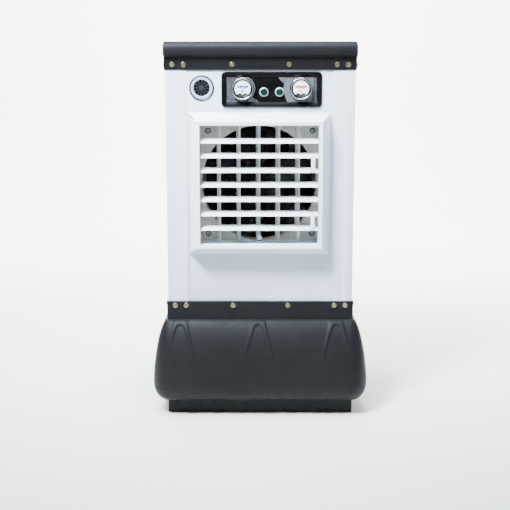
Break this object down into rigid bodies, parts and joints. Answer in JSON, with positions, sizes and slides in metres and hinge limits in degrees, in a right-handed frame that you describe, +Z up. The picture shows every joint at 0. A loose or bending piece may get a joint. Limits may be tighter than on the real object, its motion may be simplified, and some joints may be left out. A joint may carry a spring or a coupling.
{
  "type": "evaporative cooler",
  "caption": "Upright evaporative air cooler: swelling water tank, slotted cabinet, top cap, knob control panel, and a square outlet with tilting louvers and swinging vanes before a fan.",
  "frame": {"origin": "on the floor under the middle of the cabinet", "axes": "+Z up; the air outlet faces -Y; +X is to the right of a person facing the outlet"},
  "size_m": [0.715, 0.701, 1.225],
  "materials": {
    "white_plastic": "satin",
    "grille_white": "satin",
    "dark_plastic": "matt",
    "black_plastic": "satin",
    "fascia_print": "printed plate",
    "chrome": "polished",
    "zinc_brass": "zinc-yellow plated",
    "shroud_grey": "matt",
    "steel": "bare",
    "pad_fibre": "wood-wool fibre",
    "hose_clear": "translucent",
    "badge_grey": "satin"
  },
  "bodies": {
    "cabinet": {"base_stand": "black_plastic", "tank": "dark_plastic", "drain_cap": "black_plastic", "front_panel": "white_plastic", "left_panel": "white_plastic", "right_panel": "white_plastic", "rear_panel": "white_plastic", "left_pad": "pad_fibre", "right_pad": "pad_fibre", "rear_pad": "pad_fibre", "top_cap": "dark_plastic", "cable_gland": "black_plastic", "fan_shroud": "shroud_grey", "fan_motor": "dark_plastic", "motor_bracket": "steel", "control_bezel": "black_plastic", "control_fascia": "fascia_print", "power_lamp": "chrome", "pump_lamp": "chrome", "round_badge": "badge_grey", "switch_box": "black_plastic", "water_pump": "black_plastic", "riser_hose": "hose_clear", "distributor_pipe": "white_plastic", "corner_post_front_left": "white_plastic", "corner_post_front_right": "white_plastic", "corner_post_rear_left": "white_plastic", "corner_post_rear_right": "white_plastic", "outlet_frame_top": "grille_white", "outlet_frame_bottom": "grille_white", "outlet_frame_left": "grille_white", "outlet_frame_right": "grille_white", "upper_left_outer_screw": "zinc_brass", "upper_left_inner_screw": "zinc_brass", "upper_right_outer_screw": "zinc_brass", "upper_right_inner_screw": "zinc_brass", "lower_left_outer_screw": "zinc_brass", "lower_left_inner_screw": "zinc_brass", "lower_right_outer_screw": "zinc_brass", "lower_right_inner_screw": "zinc_brass"},
    "fan": {"fan_blades": "black_plastic", "fan_shaft": "steel"},
    "speed_knob": {"speed_knob": "chrome"},
    "pump_knob": {"pump_knob": "chrome"},
    "louver_1": {"louver_1": "grille_white"},
    "louver_2": {"louver_2": "grille_white"},
    "louver_3": {"louver_3": "grille_white"},
    "louver_4": {"louver_4": "grille_white"},
    "louver_5": {"louver_5": "grille_white"},
    "louver_6": {"louver_6": "grille_white"},
    "louver_7": {"louver_7": "grille_white"},
    "upper_louver_link": {"upper_louver_link": "grille_white"},
    "lower_louver_link": {"lower_louver_link": "grille_white"},
    "vane_1": {"vane_1": "grille_white"},
    "vane_2": {"vane_2": "grille_white"},
    "vane_3": {"vane_3": "grille_white"},
    "vane_4": {"vane_4": "grille_white"},
    "vane_5": {"vane_5": "grille_white"},
    "vane_tie": {"vane_tie_bar": "grille_white", "vane_grip": "white_plastic"}
  },
  "joints": [
    {"name": "fan_spin", "type": "hinge", "parent": "cabinet", "child": "fan", "pos_m": [-0.0035, -0.2, 0.771], "axis": [0, 1, 0], "continuous": true},
    {"name": "speed_knob_turn", "type": "hinge", "parent": "cabinet", "child": "speed_knob", "pos_m": [-0.0565, -0.29, 1.076], "axis": [0, 1, 0], "range_deg": [0, 135]},
    {"name": "pump_knob_turn", "type": "hinge", "parent": "cabinet", "child": "pump_knob", "pos_m": [0.1295, -0.29, 1.076], "axis": [0, 1, 0], "range_deg": [0, 90]},
    {"name": "louver_1_tilt", "type": "hinge", "parent": "cabinet", "child": "louver_1", "pos_m": [-0.0035, -0.321, 0.9125], "axis": [1, 0, 0], "range_deg": [-50, 45]},
    {"name": "louver_2_tilt", "type": "hinge", "parent": "cabinet", "child": "louver_2", "pos_m": [-0.0035, -0.321, 0.86607], "axis": [1, 0, 0], "range_deg": [-50, 45]},
    {"name": "louver_3_tilt", "type": "hinge", "parent": "cabinet", "child": "louver_3", "pos_m": [-0.0035, -0.321, 0.81963], "axis": [1, 0, 0], "range_deg": [-50, 45]},
    {"name": "louver_4_tilt", "type": "hinge", "parent": "cabinet", "child": "louver_4", "pos_m": [-0.0035, -0.321, 0.7732], "axis": [1, 0, 0], "range_deg": [-50, 45]},
    {"name": "louver_5_tilt", "type": "hinge", "parent": "cabinet", "child": "louver_5", "pos_m": [-0.0035, -0.321, 0.72677], "axis": [1, 0, 0], "range_deg": [-50, 45]},
    {"name": "louver_6_tilt", "type": "hinge", "parent": "cabinet", "child": "louver_6", "pos_m": [-0.0035, -0.321, 0.68033], "axis": [1, 0, 0], "range_deg": [-50, 45]},
    {"name": "louver_7_tilt", "type": "hinge", "parent": "cabinet", "child": "louver_7", "pos_m": [-0.0035, -0.321, 0.6339], "axis": [1, 0, 0], "range_deg": [-50, 45]},
    {"name": "upper_louver_link_turn", "type": "hinge", "parent": "louver_2", "child": "upper_louver_link", "pos_m": [0.168, -0.33052, 0.86163], "axis": [1, 0, 0], "range_deg": [-45, 50]},
    {"name": "lower_louver_link_turn", "type": "hinge", "parent": "louver_6", "child": "lower_louver_link", "pos_m": [0.168, -0.33052, 0.6759], "axis": [1, 0, 0], "range_deg": [-45, 50]},
    {"name": "vane_1_swivel", "type": "hinge", "parent": "cabinet", "child": "vane_1", "pos_m": [-0.1355, -0.268, 0.771], "axis": [0, 0, 1], "range_deg": [-50, 28]},
    {"name": "vane_2_swivel", "type": "hinge", "parent": "cabinet", "child": "vane_2", "pos_m": [-0.0715, -0.268, 0.771], "axis": [0, 0, 1], "range_deg": [-50, 28]},
    {"name": "vane_3_swivel", "type": "hinge", "parent": "cabinet", "child": "vane_3", "pos_m": [-0.0075, -0.268, 0.771], "axis": [0, 0, 1], "range_deg": [-50, 28]},
    {"name": "vane_4_swivel", "type": "hinge", "parent": "cabinet", "child": "vane_4", "pos_m": [0.0565, -0.268, 0.771], "axis": [0, 0, 1], "range_deg": [-50, 28]},
    {"name": "vane_5_swivel", "type": "hinge", "parent": "cabinet", "child": "vane_5", "pos_m": [0.1205, -0.268, 0.771], "axis": [0, 0, 1], "range_deg": [-50, 28]},
    {"name": "vane_tie_turn", "type": "hinge", "parent": "vane_3", "child": "vane_tie", "pos_m": [-0.0031, -0.28442, 0.598], "axis": [0, 0, 1], "range_deg": [-28, 50]}
  ],
  "couplings": [
    {"joint": "upper_louver_link_turn", "follows": "louver_2_tilt", "ratio": -1},
    {"joint": "louver_3_tilt", "follows": "louver_2_tilt", "ratio": 1},
    {"joint": "lower_louver_link_turn", "follows": "louver_6_tilt", "ratio": -1},
    {"joint": "louver_7_tilt", "follows": "louver_6_tilt", "ratio": 1},
    {"joint": "vane_tie_turn", "follows": "vane_3_swivel", "ratio": -1},
    {"joint": "vane_1_swivel", "follows": "vane_3_swivel", "ratio": 1},
    {"joint": "vane_2_swivel", "follows": "vane_3_swivel", "ratio": 1},
    {"joint": "vane_4_swivel", "follows": "vane_3_swivel", "ratio": 1},
    {"joint": "vane_5_swivel", "follows": "vane_3_swivel", "ratio": 1}
  ]
}
